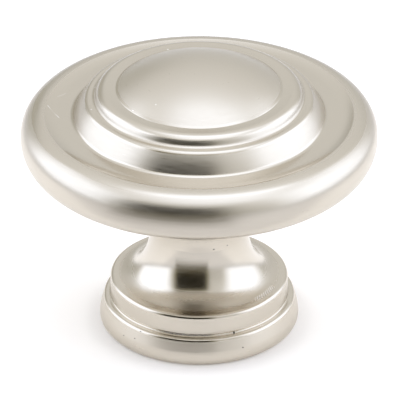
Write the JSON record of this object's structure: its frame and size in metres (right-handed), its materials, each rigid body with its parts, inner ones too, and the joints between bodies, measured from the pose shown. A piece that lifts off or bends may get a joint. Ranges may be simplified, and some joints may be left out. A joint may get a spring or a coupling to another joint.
{
  "type": "bifold door knob",
  "caption": "Round door knob: a domed, stepped head with a bullnosed rim on a waisted neck and a collared base, with a blind tapped hole underneath for its screw.",
  "frame": {"origin": "centre of the base's underside, where the knob meets the door", "axes": "+Z along the knob's axis, from the door out to the domed face; X and Y are alike"},
  "size_m": [0.032, 0.032, 0.0259],
  "materials": {
    "satin_nickel": "satin nickel plate over die-cast zinc, lightly worn"
  },
  "bodies": {
    "root": {"knob": "satin_nickel"}
  },
  "joints": []
}
